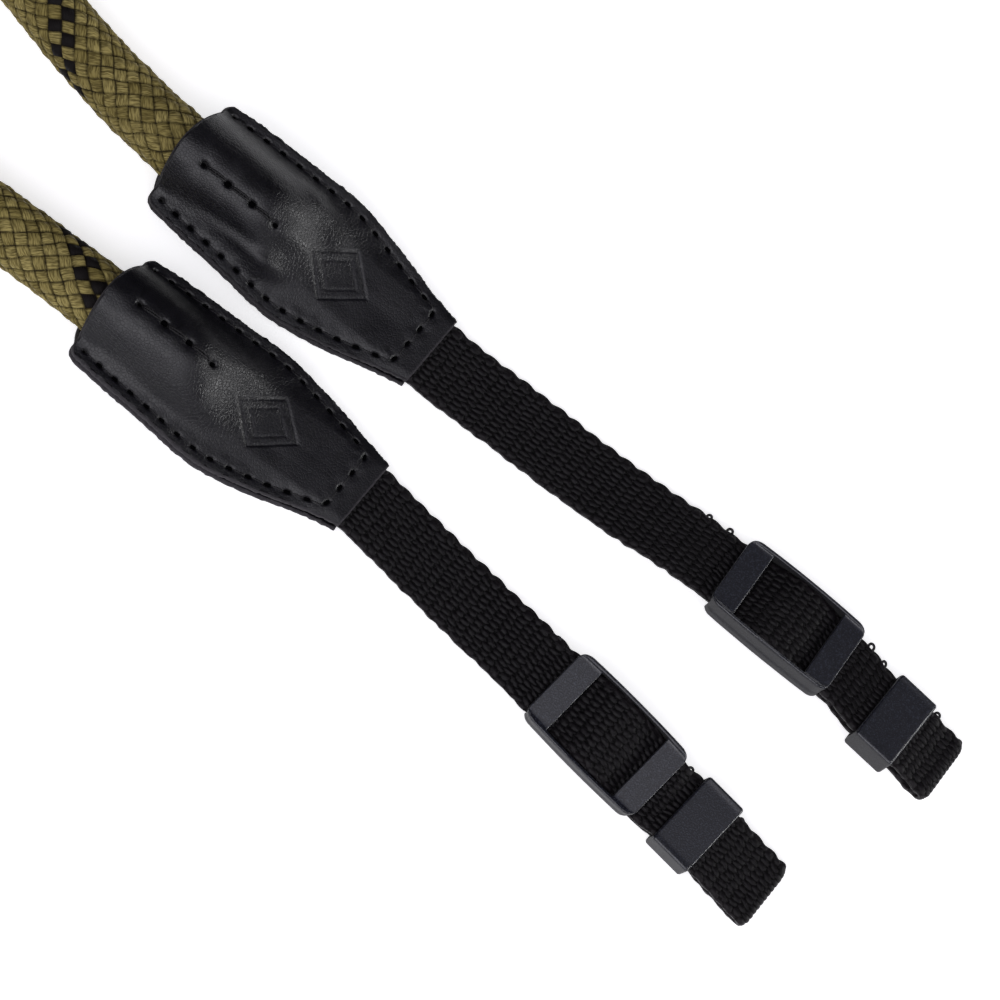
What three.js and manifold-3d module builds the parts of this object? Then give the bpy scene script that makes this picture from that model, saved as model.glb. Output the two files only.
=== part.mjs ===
// Rope camera strap: one thick braided rope whose two ends are held in leather tabs; out of each
// tab comes a narrow webbing that runs through a three-bar slider and a keeper, is folded back at
// its tip and runs back underneath, so that the fold can hang on a camera's lug.
// Units are millimetres, +X points along the strap to the folded tips, +Z is up and z = 0 is the
// surface that the strap lies on. The origin is the middle of the two ends' box, on that surface.

import * as THREE from 'three';
import { mergeVertices } from 'three/addons/utils/BufferGeometryUtils.js';
import Module from 'manifold-3d';

const wasm = await Module();
wasm.setup();

// ---------------------------------------------------------------- driving dimensions

const GAP = 0.3;

const ROPE = { diameter: 9.8, sides: 10, steps: 62 };

const TAB = {
  length: 44.8,
  leather: 1.2,
  mouthBulge: 1.6,
  cornerRadius: 1.6,
  flangeHeightMouth: 6.1,
  flangeHeightEnd: 2.3,
  domeTop: 5.8,
  domeBottom: 4.6,
  domeHalfWidth: 7.0,
  domeFullUntil: 15,
  domeGoneAt: 26.5,
  settleFrom: 10,
  settleUntil: 36,
};

// the tab's half width along its length, from the rope's mouth to the narrow end
const TAB_OUTLINE = [
  { along: 0, half: 9.3 },
  { along: 6, half: 9.8 },
  { along: 14, half: 10.2 },
  { along: 21.5, half: 10.6 },
  { along: 26, half: 10.3 },
  { along: 33, half: 8.8 },
  { along: 39, half: 7.15 },
  { along: 45, half: 5.7 },
];

const WEB = { width: 10.2, thickness: 1.0, inTab: 17, steps: 92 };

const SLIDER = {
  length: 21.4,
  width: 12.9,
  height: 4.2,
  cornerRadius: 1.4,
  edgeRadius: 0.4,
  windowWidth: 11.4,
  endBar: 4.1,
  barThickness: 1.25,
  centreBar: 3.0,
  centreBarBottom: 0.35,
  centreBarThickness: 0.85,
  bow: 0.25,
};

const KEEPER = {
  length: 7.0,
  width: 12.6,
  height: 4.6,
  cornerRadius: 0.7,
  slotWidth: 11.2,
  slotHeight: 2.9,
};

// Each end's strap runs along a route: the place across (y), the height of its underside (lift),
// its heading and its roll, both in degrees, at a few places along X. A slider or keeper may sit
// a little to one side of the webbing (sliderShift, keeperShift), as far as its play goes.
const ENDS = {
  a: {
    mouth: -69.5,
    slider: 38.7,
    keeper: 60.1,
    tip: 70.5,
    sliderShift: 0.3,
    keeperShift: -0.15,
    route: [
      { x: -71.0, y: 10.75, heading: 1, lift: 0.1, roll: 4 },
      { x: -56.5, y: 11.10, heading: 2, lift: 0.1, roll: 4 },
      { x: -24.4, y: 12.65, heading: 3, lift: 0.1, roll: 0 },
      { x: 0.6, y: 14.25, heading: 4, lift: 0.4, roll: -4 },
      { x: 27.1, y: 16.30, heading: 2.5, lift: 1.4, roll: -11 },
      { x: 50.2, y: 17.05, heading: 1.0, lift: 1.4, roll: -11 },
      { x: 56.5, y: 15.65, heading: -2, lift: 1.45, roll: -12 },
      { x: 63.9, y: 15.40, heading: -1.5, lift: 1.45, roll: -12 },
      { x: 71.0, y: 15.35, heading: 0, lift: 1.2, roll: -9 },
    ],
  },
  b: {
    mouth: -63.6,
    slider: 29.3,
    keeper: 47.4,
    tip: 61.6,
    sliderShift: 0.3,
    keeperShift: 0,
    route: [
      { x: -65.5, y: -14.95, heading: 3, lift: 0.1, roll: -5 },
      { x: -49.5, y: -14.05, heading: 4, lift: 0.1, roll: -5 },
      { x: -18.4, y: -10.25, heading: 1, lift: 0.1, roll: -2 },
      { x: -4.5, y: -10.95, heading: -3, lift: 0.1, roll: 0 },
      { x: 18.1, y: -12.30, heading: -4.4, lift: 1.05, roll: 8 },
      { x: 40.6, y: -14.03, heading: -4.4, lift: 1.05, roll: 8 },
      { x: 43.8, y: -14.20, heading: -4.4, lift: 0.1, roll: 0 },
      { x: 51.1, y: -14.75, heading: -4.4, lift: 0.1, roll: 0 },
      { x: 62.0, y: -15.65, heading: -6, lift: 0.1, roll: 0 },
    ],
  },
};

// The rope's middle line from inside tab a round to inside tab b, chosen by hand.
const ROPE_ROUTE = [
  [-56.0, 10.65, 6.85],
  [-71.0, 10.35, 6.75],
  [-81.0, 11.2, 5.4],
  [-90.5, 12.4, 5.0],
  [-101.5, 14.4, 4.95],
  [-117.5, 16.9, 4.95],
  [-139.5, 18.2, 4.95],
  [-169.5, 18.9, 4.95],
  [-204.5, 19.2, 4.95],
  [-239.5, 19.9, 4.95],
  [-274.5, 21.1, 4.95],
  [-304.5, 22.9, 4.95],
  [-324.5, 22.4, 4.95],
  [-338.5, 15.2, 4.95],
  [-345.0, 1.8, 4.95],
  [-340.5, -12.2, 4.95],
  [-327.5, -20.9, 4.95],
  [-307.5, -22.6, 4.95],
  [-277.5, -20.8, 4.95],
  [-239.5, -19.1, 4.95],
  [-199.5, -18.1, 4.95],
  [-159.5, -17.4, 4.95],
  [-119.5, -16.6, 4.95],
  [-91.5, -15.7, 4.95],
  [-76.5, -14.8, 5.4],
  [-65.5, -14.4, 6.75],
  [-50.1, -13.55, 6.85],
];

const COLOURS = {
  rope: '#8f8460',
  leather: '#2b2a2d',
  webbing: '#1e1d20',
  plastic: '#46464b',
};

// ---------------------------------------------------------------- materials

function finish(colour, roughness) {
  return new THREE.MeshStandardMaterial({ color: colour, roughness, metalness: 0 });
}

const ropeFinish = finish(COLOURS.rope, 0.55);
const leatherFinish = finish(COLOURS.leather, 0.45);
const webbingFinish = finish(COLOURS.webbing, 0.75);
const plasticFinish = finish(COLOURS.plastic, 0.5);

// ---------------------------------------------------------------- small helpers

const clamp01 = (value) => Math.min(1, Math.max(0, value));
const smooth = (from, to, value) => {
  const t = clamp01((value - from) / (to - from));
  return t * t * (3 - 2 * t);
};
const radians = THREE.MathUtils.degToRad;

function positionsOnly(geometry) {
  geometry.deleteAttribute('normal');
  geometry.deleteAttribute('uv');
  return mergeVertices(geometry, 1e-4);
}

// A closed block of nx by ny by nz cells; place() moves each vertex, given u along the block in
// 0..1, v across it in -1..1 and w through it in 0..1.
function placedBlock(nx, ny, nz, place) {
  const geometry = positionsOnly(new THREE.BoxGeometry(1, 1, 1, nx, ny, nz));
  const vertices = geometry.attributes.position;
  for (let i = 0; i < vertices.count; i++) {
    const u = vertices.getX(i) + 0.5;
    const v = vertices.getY(i) * 2;
    const w = vertices.getZ(i) + 0.5;
    vertices.setXYZ(i, ...place(u, v, w));
  }
  geometry.computeVertexNormals();
  return geometry;
}

function toManifold(geometry) {
  const merged = positionsOnly(geometry.clone());
  return new wasm.Manifold(new wasm.Mesh({
    numProp: 3,
    vertProperties: new Float32Array(merged.attributes.position.array),
    triVerts: new Uint32Array(merged.index.array),
  }));
}

function toGeometry(solid) {
  const mesh = solid.getMesh();
  const geometry = new THREE.BufferGeometry();
  geometry.setAttribute('position', new THREE.BufferAttribute(mesh.vertProperties, 3));
  geometry.setIndex(new THREE.BufferAttribute(mesh.triVerts, 1));
  geometry.computeVertexNormals();
  return geometry;
}

// ---------------------------------------------------------------- the strap's route

// Cubic Hermite between two places of a route, with the slopes given there.
function hermite(t, span, from, to, slopeFrom, slopeTo) {
  const t2 = t * t;
  const t3 = t2 * t;
  return (2 * t3 - 3 * t2 + 1) * from + (t3 - 2 * t2 + t) * span * slopeFrom
    + (3 * t2 - 2 * t3) * to + (t3 - t2) * span * slopeTo;
}

// Where the strap is at x: its middle across, its underside's height and its roll.
function routeAt(route, x) {
  let i = 0;
  while (i < route.length - 2 && x > route[i + 1].x) i++;
  const from = route[i];
  const to = route[i + 1];
  const span = to.x - from.x;
  const t = clamp01((x - from.x) / span);
  const slopes = [from, to].map((key) => Math.tan(radians(key.heading)));
  return {
    y: hermite(t, span, from.y, to.y, ...slopes),
    lift: hermite(t, span, from.lift, to.lift, 0, 0),
    roll: radians(from.roll + (to.roll - from.roll) * smooth(0, 1, t)),
  };
}

// Bends a point of the straight strap (x along, y across, z up from its underside) onto the route.
function bend(route, x, y, z) {
  const { y: middle, lift, roll } = routeAt(route, x);
  const across = Math.cos(roll) * y - Math.sin(roll) * z;
  const up = Math.sin(roll) * y + Math.cos(roll) * z;
  return [x, middle + across, lift + up];
}

// Sets a hard piece, made round its own origin, at x on the route, turned and rolled with it, and
// a shift to one side.
function setOnRoute(mesh, route, x, shift) {
  const step = 0.5;
  const here = routeAt(route, x);
  const heading = Math.atan2(routeAt(route, x + step).y - routeAt(route, x - step).y, 2 * step);
  mesh.rotation.set(here.roll, 0, heading, 'ZYX');
  mesh.position.set(
    x, here.y + shift * Math.cos(here.roll), here.lift + shift * Math.sin(here.roll),
  );
}

// ---------------------------------------------------------------- leather tabs

const outlineCurve = new THREE.SplineCurve(
  TAB_OUTLINE.map(({ along, half }) => new THREE.Vector2(along, half)),
);
const outlineSamples = outlineCurve.getPoints(80);

function tabHalfWidth(along) {
  let i = 0;
  while (i < outlineSamples.length - 2 && along > outlineSamples[i + 1].x) i++;
  const a = outlineSamples[i];
  const b = outlineSamples[i + 1];
  return a.y + (b.y - a.y) * clamp01((along - a.x) / (b.x - a.x));
}

// The mouth's edge stands out a little in the middle and is rounded at its two corners.
function mouthEdge(v) {
  const half = tabHalfWidth(0);
  const across = Math.abs(v) * half;
  const intoCorner = Math.max(0, across - (half - TAB.cornerRadius));
  const rounding = TAB.cornerRadius - Math.sqrt(TAB.cornerRadius ** 2 - intoCorner ** 2);
  return rounding - TAB.mouthBulge * Math.max(0, 1 - (across / TAB.domeHalfWidth) ** 2);
}

// How far the two layers part at a place of the tab: they go round the rope's end near the
// mouth, round the webbing near the narrow end, and lie on each other along the edges.
function parting(along, across, amplitude) {
  const dome = amplitude * (1 - smooth(TAB.domeFullUntil, TAB.domeGoneAt, along));
  const arch = dome * (1 - (across / TAB.domeHalfWidth) ** 2);
  const rounded = 0.5 * (arch + Math.sqrt(arch ** 2 + 0.25));
  const webRoom = WEB.thickness / 2 + GAP;
  const web = webRoom * smooth(22, 27, along) * (1 - smooth(5.6, 7.4, Math.abs(across)));
  return Math.max(GAP / 2, Math.min(rounded, arch + 0.6), web);
}

function flangeHeight(along) {
  const settled = smooth(TAB.settleFrom, TAB.settleUntil, along);
  return TAB.flangeHeightMouth + (TAB.flangeHeightEnd - TAB.flangeHeightMouth) * settled;
}

// One leather layer; side is 1 for the top layer and -1 for the bottom one.
function tabLayer(end, side) {
  const amplitude = side > 0 ? TAB.domeTop : TAB.domeBottom;
  return placedBlock(20, 16, 1, (u, v, w) => {
    const start = mouthEdge(v);
    const along = start + (TAB.length - start) * u;
    const across = v * tabHalfWidth(along);
    const inner = parting(along, across, amplitude);
    const outer = inner + TAB.leather;
    const away = side > 0 ? inner + (outer - inner) * w : -(outer + (inner - outer) * w);
    return bend(end.route, end.mouth + along, across, flangeHeight(along) + away);
  });
}

// ---------------------------------------------------------------- webbing

// The webbing's middle line seen from the side, x along and z up from the strap's underside:
// out of the tab, under the slider's first bar, over its centre bar, under its last bar, through
// the keeper, round the fold at the tip, and back below to its free end inside the slider.
function webbingSideLine(end) {
  const half = SLIDER.length / 2;
  const barInner = half - SLIDER.endBar;
  const low = WEB.thickness / 2 + GAP;
  const high = low + WEB.thickness + GAP;
  const lowInKeeper = (KEEPER.height - KEEPER.slotHeight) / 2 + GAP + WEB.thickness / 2;
  const highInKeeper = lowInKeeper + WEB.thickness + GAP;
  const humpLow = SLIDER.centreBarBottom + SLIDER.centreBarThickness + GAP + WEB.thickness / 2;
  const humpHigh = humpLow + 1.25;
  const fold = (high - low) / 2;
  const halfKeeper = KEEPER.length / 2;
  const inTab = [0, 1, 2, 3, 4].map((i) => {
    const along = TAB.length - WEB.inTab * (1 - i / 4);
    return [end.mouth + along, flangeHeight(along)];
  });
  const out = [
    ...inTab,
    [end.mouth + TAB.length + 9, 1.7],
    [(end.mouth + TAB.length + end.slider) / 2, 1.3],
    [end.slider - half - 5, high - 0.2],
    [end.slider - half, high],
    [end.slider - barInner - 0.4, high],
    [end.slider - 1.8, humpHigh],
    [end.slider + 1.8, humpHigh],
    [end.slider + barInner + 0.4, high],
    [end.slider + half, high],
    [end.keeper - halfKeeper, highInKeeper],
    [end.keeper + halfKeeper, highInKeeper],
    [end.tip - fold - 2, high],
    [end.tip - fold, high],
  ];
  const turn = [-60, -30, 0, 30, 60].map((angle) => [
    end.tip - fold + fold * Math.cos(radians(angle)),
    (low + high) / 2 - fold * Math.sin(radians(angle)),
  ]);
  const back = [
    [end.tip - fold, low],
    [end.tip - fold - 2, low],
    [end.keeper + halfKeeper, lowInKeeper],
    [end.keeper - halfKeeper, lowInKeeper],
    [end.slider + half, low],
    [end.slider + barInner + 0.4, low],
    [end.slider + 1.8, humpLow],
    [end.slider - 1.8, humpLow],
    [end.slider - barInner - 0.4, low],
    [end.slider - half + 1, low],
  ];
  return [...out, ...turn, ...back];
}

function webbing(end) {
  const line = new THREE.CatmullRomCurve3(
    webbingSideLine(end).map(([x, z]) => new THREE.Vector3(x, 0, z)), false, 'centripetal',
  );
  line.arcLengthDivisions = 1200;
  return placedBlock(WEB.steps, 2, 1, (u, v, w) => {
    const point = line.getPointAt(u);
    const tangent = line.getTangentAt(u);
    const off = (w - 0.5) * WEB.thickness;
    const x = point.x - tangent.z * off;
    const z = point.z + tangent.x * off;
    return bend(end.route, x, v * WEB.width / 2, z);
  });
}

// ---------------------------------------------------------------- slider and keeper

// A rectangle with rounded corners, whose long sides may bow out in the middle.
function roundedRectangle(length, width, radius, bow = 0) {
  const shape = new THREE.Shape();
  const x = length / 2;
  const y = width / 2;
  shape.moveTo(x, y - radius);
  shape.absarc(x - radius, y - radius, radius, 0, Math.PI / 2);
  shape.quadraticCurveTo(0, y + 2 * bow, -x + radius, y);
  shape.absarc(-x + radius, y - radius, radius, Math.PI / 2, Math.PI);
  shape.absarc(-x + radius, -y + radius, radius, Math.PI, 1.5 * Math.PI);
  shape.quadraticCurveTo(0, -y - 2 * bow, x - radius, -y);
  shape.absarc(x - radius, -y + radius, radius, 1.5 * Math.PI, 2 * Math.PI);
  return shape;
}

// A block with its underside at z = bottom, for cutting and joining.
function block(length, width, height, x, bottom) {
  const box = new THREE.BoxGeometry(length, width, height);
  box.translate(x, 0, bottom + height / 2);
  return toManifold(box);
}

function slider() {
  const bevel = SLIDER.edgeRadius;
  const shape = roundedRectangle(
    SLIDER.length - 2 * bevel, SLIDER.width - 2 * bevel, SLIDER.cornerRadius - bevel,
    SLIDER.bow,
  );
  const outer = new THREE.ExtrudeGeometry(shape, {
    depth: SLIDER.height - 2 * bevel,
    bevelSize: bevel,
    bevelThickness: bevel,
    bevelSegments: 2,
    curveSegments: 6,
  });
  outer.translate(0, 0, bevel);
  const windowLength = SLIDER.length - 2 * SLIDER.endBar;
  const window = block(windowLength, SLIDER.windowWidth, SLIDER.height + 2, 0, -1);
  const underBars = SLIDER.height - SLIDER.barThickness + 1;
  const channel = block(SLIDER.length + 2, SLIDER.windowWidth, underBars, 0, -1);
  const bar = block(
    SLIDER.centreBar, SLIDER.windowWidth + 1, SLIDER.centreBarThickness, 0,
    SLIDER.centreBarBottom,
  );
  return toGeometry(toManifold(outer).subtract(window).subtract(channel).add(bar));
}

function keeper() {
  const outline = roundedRectangle(KEEPER.height, KEEPER.width, KEEPER.cornerRadius);
  const slot = roundedRectangle(KEEPER.slotHeight, KEEPER.slotWidth, KEEPER.cornerRadius / 2);
  outline.holes.push(new THREE.Path(slot.getPoints(4).reverse()));
  const tube = new THREE.ExtrudeGeometry(outline, {
    depth: KEEPER.length, bevelEnabled: false, curveSegments: 5,
  });
  tube.translate(KEEPER.height / -2, 0, KEEPER.length / -2);
  tube.rotateY(Math.PI / 2);
  return tube;
}

// ---------------------------------------------------------------- rope

function rope() {
  const radius = ROPE.diameter / 2;
  const section = new THREE.Shape();
  for (let i = 0; i < ROPE.sides; i++) {
    const angle = (2 * Math.PI * i) / ROPE.sides;
    const corner = [radius * Math.cos(angle), radius * Math.sin(angle)];
    if (i === 0) section.moveTo(...corner);
    else section.lineTo(...corner);
  }
  section.closePath();
  const route = new THREE.CatmullRomCurve3(
    ROPE_ROUTE.map((point) => new THREE.Vector3(...point)), false, 'centripetal',
  );
  return new THREE.ExtrudeGeometry(section, {
    steps: ROPE.steps, bevelEnabled: false, extrudePath: route,
  });
}

// ---------------------------------------------------------------- assembly

const strap = new THREE.Group();

function add(name, geometry, material) {
  const mesh = new THREE.Mesh(geometry, material);
  mesh.name = name;
  strap.add(mesh);
  return mesh;
}

add('rope', rope(), ropeFinish);

for (const [letter, end] of Object.entries(ENDS)) {
  add(`tab_top_${letter}`, tabLayer(end, 1), leatherFinish);
  add(`tab_bottom_${letter}`, tabLayer(end, -1), leatherFinish);
  add(`webbing_${letter}`, webbing(end), webbingFinish);
  const sliderMesh = add(`slider_${letter}`, slider(), plasticFinish);
  setOnRoute(sliderMesh, end.route, end.slider, end.sliderShift);
  const keeperMesh = add(`keeper_${letter}`, keeper(), plasticFinish);
  setOnRoute(keeperMesh, end.route, end.keeper, end.keeperShift);
}

export default strap;
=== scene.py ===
"""Rope camera strap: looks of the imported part, in the frame's own axes.

Sizes are in millimetres up to mesh_object, which makes metres of them.
"""

import math

import bpy
import numpy as np
from mathutils import Matrix, Vector


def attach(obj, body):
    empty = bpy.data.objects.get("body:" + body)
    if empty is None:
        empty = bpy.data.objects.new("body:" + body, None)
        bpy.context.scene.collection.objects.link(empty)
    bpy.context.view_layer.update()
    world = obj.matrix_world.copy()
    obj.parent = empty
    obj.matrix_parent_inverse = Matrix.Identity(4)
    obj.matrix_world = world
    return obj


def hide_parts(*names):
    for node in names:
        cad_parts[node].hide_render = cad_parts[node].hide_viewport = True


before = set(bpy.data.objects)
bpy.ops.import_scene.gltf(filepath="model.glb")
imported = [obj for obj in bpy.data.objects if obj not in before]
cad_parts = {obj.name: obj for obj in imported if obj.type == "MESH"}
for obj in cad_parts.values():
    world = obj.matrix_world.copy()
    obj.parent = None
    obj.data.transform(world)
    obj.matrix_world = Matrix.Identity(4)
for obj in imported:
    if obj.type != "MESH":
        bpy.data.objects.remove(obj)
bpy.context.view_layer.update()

MM = 0.001

# --- sizes, as in the part's source ---

ROPE_DIAMETER = 9.8
TAB_LENGTH = 44.8
LEATHER = 1.2
MOUTH_BULGE = 1.6
CORNER_RADIUS = 1.6
FLANGE_MOUTH, FLANGE_END = 6.1, 2.3
DOME_TOP, DOME_BOTTOM, DOME_HALF = 5.8, 4.6, 7.0
SETTLE_FROM, SETTLE_UNTIL = 10, 36
GAP = 0.3

WEB_WIDTH, WEB_THICKNESS, WEB_IN_TAB = 10.2, 1.0, 17

SLIDER_LENGTH, SLIDER_WIDTH, SLIDER_HEIGHT = 21.4, 12.9, 4.2
BAR_LENGTH, BAR_THICKNESS = 4.1, 1.25
CENTRE_BAR, CENTRE_BAR_BOTTOM, CENTRE_BAR_THICKNESS = 3.0, 0.35, 0.85
KEEPER_LENGTH, KEEPER_WIDTH, KEEPER_HEIGHT = 7.0, 12.6, 4.6
SLOT_WIDTH, SLOT_HEIGHT = 11.2, 2.9

# the tab's half width: (along, half) from the mouth to the narrow end
TAB_OUTLINE = [
    (0, 9.3), (6, 9.8), (14, 10.2), (21.5, 10.6), (26, 10.3), (33, 8.8), (39, 7.15), (45, 5.7),
]

# the shifts are how far a slider, a keeper and the loose loops sit to one side of the webbing;
# centre_stitches is where the tab's centre stitching starts, along and across
# route: x, y across, heading, lift of the underside, roll
# folds: along, across, length, width, height, bearing
ENDS = {
    "a": {
        "mouth": -69.5, "slider": 38.7, "keeper": 60.1, "tip": 70.5,
        "slider_shift": 0.3, "keeper_shift": -0.15,
        "loop_shift": (0.1, 0.2, 0.15, 0.05, 0.2),
        "centre_stitches": (3.2, -1.3),
        "route": [
            (-71.0, 10.75, 1, 0.1, 4), (-56.5, 11.10, 2, 0.1, 4),
            (-24.4, 12.65, 3, 0.1, 0), (0.6, 14.25, 4, 0.4, -4),
            (27.1, 16.30, 2.5, 1.4, -11), (50.2, 17.05, 1.0, 1.4, -11),
            (56.5, 15.65, -2, 1.45, -12), (63.9, 15.40, -1.5, 1.45, -12),
            (71.0, 15.35, 0, 1.2, -9),
        ],
        "folds": [
            (15.5, -6.3, 5.0, 1.6, 0.55, 8), (18.4, -6.3, 2.5, 1.9, 1.1, 15),
            (8.5, -6.9, 8.5, 0.9, 0.45, 3), (10.0, -5.2, 7.0, 0.8, -0.35, 2),
            (20.0, -3.2, 3.4, 1.8, -0.55, 25), (24.5, 3.6, 3.0, 2.2, 0.35, -30),
            (18.0, 6.6, 3.4, 1.5, 0.35, -12), (36.5, -0.5, 3.5, 2.6, -0.22, 0),
            (21.5, 2.2, 3.6, 1.8, -0.3, -18),
        ],
    },
    "b": {
        "mouth": -63.6, "slider": 29.3, "keeper": 47.4, "tip": 61.6,
        "slider_shift": 0.3, "keeper_shift": 0,
        "loop_shift": (-0.55, -0.45, -0.3, -0.5, -0.4),
        "centre_stitches": (3.4, 0.6),
        "route": [
            (-65.5, -14.95, 3, 0.1, -5), (-49.5, -14.05, 4, 0.1, -5),
            (-18.4, -10.25, 1, 0.1, -2), (-4.5, -10.95, -3, 0.1, 0),
            (18.1, -12.30, -4.4, 1.05, 8), (40.6, -14.03, -4.4, 1.05, 8),
            (43.8, -14.20, -4.4, 0.1, 0), (51.1, -14.75, -4.4, 0.1, 0),
            (62.0, -15.65, -6, 0.1, 0),
        ],
        "folds": [
            (17.0, -5.2, 6.0, 1.8, 0.4, 6), (7.5, -7.0, 8.0, 0.9, 0.35, 3),
            (20.6, -1.4, 3.0, 2.2, -0.5, 15), (21.0, 4.4, 4.2, 1.7, 0.4, -14),
            (12.0, 5.6, 7.0, 1.1, -0.3, -3), (36.0, 1.5, 3.0, 3.0, -0.2, 0),
            (32.0, 3.0, 10.0, 6.5, 0.6, -8),
        ],
    },
}

# the rope's middle line, from inside tab a round to inside tab b
ROPE_ROUTE = [
    (-56.0, 10.65, 6.85), (-71.0, 10.35, 6.75), (-81.0, 11.2, 5.4),
    (-90.5, 12.4, 5.0), (-101.5, 14.4, 4.95), (-117.5, 16.9, 4.95),
    (-139.5, 18.2, 4.95), (-169.5, 18.9, 4.95), (-204.5, 19.2, 4.95),
    (-239.5, 19.9, 4.95), (-274.5, 21.1, 4.95), (-304.5, 22.9, 4.95),
    (-324.5, 22.4, 4.95), (-338.5, 15.2, 4.95), (-345.0, 1.8, 4.95),
    (-340.5, -12.2, 4.95), (-327.5, -20.9, 4.95), (-307.5, -22.6, 4.95),
    (-277.5, -20.8, 4.95), (-239.5, -19.1, 4.95), (-199.5, -18.1, 4.95),
    (-159.5, -17.4, 4.95), (-119.5, -16.6, 4.95), (-91.5, -15.7, 4.95),
    (-76.5, -14.8, 5.4), (-65.5, -14.4, 6.75), (-50.1, -13.55, 6.85),
]

# --- camera ---

CAMERA_TARGET = Vector((-3.4, 3.85, 0.0)) * MM
CAMERA_DISTANCE = 750 * MM
CAMERA_LEAN = math.radians(17.5)      # off the vertical
CAMERA_LEAN_SIDE = math.radians(12)   # the lean's bearing, from -Y towards -X
STRAP_ANGLE = math.radians(-41)       # the strap's direction in the picture
VIEW_WIDTH = 1000 / 7.0 * MM          # what the frame spans at the target


def make_camera():
    back = Vector((
        -math.sin(CAMERA_LEAN) * math.sin(CAMERA_LEAN_SIDE),
        -math.sin(CAMERA_LEAN) * math.cos(CAMERA_LEAN_SIDE),
        math.cos(CAMERA_LEAN),
    ))
    along = Vector((1, 0, 0))
    along = (along - back * along.dot(back)).normalized()
    across = back.cross(along)
    right = along * math.cos(STRAP_ANGLE) - across * math.sin(STRAP_ANGLE)
    up = along * math.sin(STRAP_ANGLE) + across * math.cos(STRAP_ANGLE)
    data = bpy.data.cameras.new("camera")
    data.sensor_width = 36
    data.lens = data.sensor_width * CAMERA_DISTANCE / VIEW_WIDTH
    data.clip_start, data.clip_end = 0.01, 10
    camera = link(bpy.data.objects.new("camera", data))
    turn = Matrix((right, up, back)).transposed()
    camera.matrix_world = Matrix.Translation(CAMERA_TARGET + back * CAMERA_DISTANCE) @ turn.to_4x4()
    bpy.context.scene.camera = camera


# --- small helpers ---


def smooth(low, high, value):
    t = np.clip((np.asarray(value, float) - low) / (high - low), 0, 1)
    return t * t * (3 - 2 * t)


def bell(value):
    """1 at nought, falling off to 0 on both sides."""
    return np.exp(-(value**2))


def unit(vectors):
    return vectors / np.maximum(np.linalg.norm(vectors, axis=1), 1e-6)[:, None]


def link(obj):
    bpy.context.scene.collection.objects.link(obj)
    return obj


def mesh_object(name, points, faces, material=None, uv=None):
    """points in millimetres; uv, if given, holds one pair for each face corner."""
    mesh = bpy.data.meshes.new(name)
    mesh.from_pydata((np.asarray(points) * MM).tolist(), [], faces)
    if uv is not None:
        layer = mesh.uv_layers.new(name="weave")
        layer.data.foreach_set("uv", np.asarray(uv, np.float32).ravel())
    mesh.polygons.foreach_set("use_smooth", [True] * len(mesh.polygons))
    mesh.update()
    if material:
        mesh.materials.append(material)
    return link(bpy.data.objects.new(name, mesh))


def add_marks(obj, *marks):
    """Keeps up to three numbers on each vertex for the piece's material."""
    layer = obj.data.color_attributes.new(name="marks", type="FLOAT_COLOR", domain="POINT")
    values = np.zeros((len(marks[0]), 4), np.float32)
    values[:, : len(marks)] = np.stack(marks, axis=1)
    values[:, 3] = 1
    layer.data.foreach_set("color", values.ravel())


def catmull_rom(points, samples_per_span, power=0.5, beyond=None):
    """A Catmull-Rom curve through the points: centripetal, or uniform where power is 0.

    beyond is a point before the first and one after the last; without it, the ends run straight.
    """
    pts = [np.array(p, float) for p in points]
    before, after = beyond or (2 * pts[0] - pts[1], 2 * pts[-1] - pts[-2])
    pts = [np.array(before, float), *pts, np.array(after, float)]
    out = []
    for p0, p1, p2, p3 in zip(pts, pts[1:], pts[2:], pts[3:]):
        pairs = ((p0, p1), (p1, p2), (p2, p3))
        d0, d1, d2 = (max(np.linalg.norm(b - a), 1e-6) ** power for a, b in pairs)
        t1 = ((p1 - p0) / d0 - (p2 - p0) / (d0 + d1) + (p2 - p1) / d1) * d1
        t2 = ((p2 - p1) / d1 - (p3 - p1) / (d1 + d2) + (p3 - p2) / d2) * d1
        t = (np.arange(samples_per_span) / samples_per_span)[:, None]
        out.append(
            p1 + t1 * t + (-3 * p1 + 3 * p2 - 2 * t1 - t2) * t**2
            + (2 * p1 - 2 * p2 + t1 + t2) * t**3
        )
    return np.vstack([*out, pts[-2]])


def arc_lengths(line):
    return np.concatenate([[0], np.cumsum(np.linalg.norm(np.diff(line, axis=0), axis=1))])


def along_line(line, at):
    """Points of a polyline at the given distances along it."""
    lengths = arc_lengths(line)
    return np.stack([np.interp(at, lengths, line[:, i]) for i in range(line.shape[1])], axis=1)


def directions(line, at, step):
    """Which way a polyline runs at the given distances along it."""
    total = arc_lengths(line)[-1]
    ahead, behind = (along_line(line, np.clip(at + side, 0, total)) for side in (step, -step))
    return unit(ahead - behind)


def value_noise(x, y, seed=0):
    """Smooth noise in -1..1 with one cell a unit."""
    cell_x, cell_y = np.floor(x).astype(np.int64), np.floor(y).astype(np.int64)
    fx, fy = smooth(0, 1, x - cell_x), smooth(0, 1, y - cell_y)

    def corner(i, j):
        mixed = (i * 374761393 + j * 668265263 + seed * 362437) & 0x7FFFFFFF
        mixed = ((mixed ^ (mixed >> 13)) * 1274126177) & 0x7FFFFFFF
        return (mixed ^ (mixed >> 16)) / 0x3FFFFFFF - 1

    low = corner(cell_x, cell_y) * (1 - fx) + corner(cell_x + 1, cell_y) * fx
    high = corner(cell_x, cell_y + 1) * (1 - fx) + corner(cell_x + 1, cell_y + 1) * fx
    return low * (1 - fy) + high * fy


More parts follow.
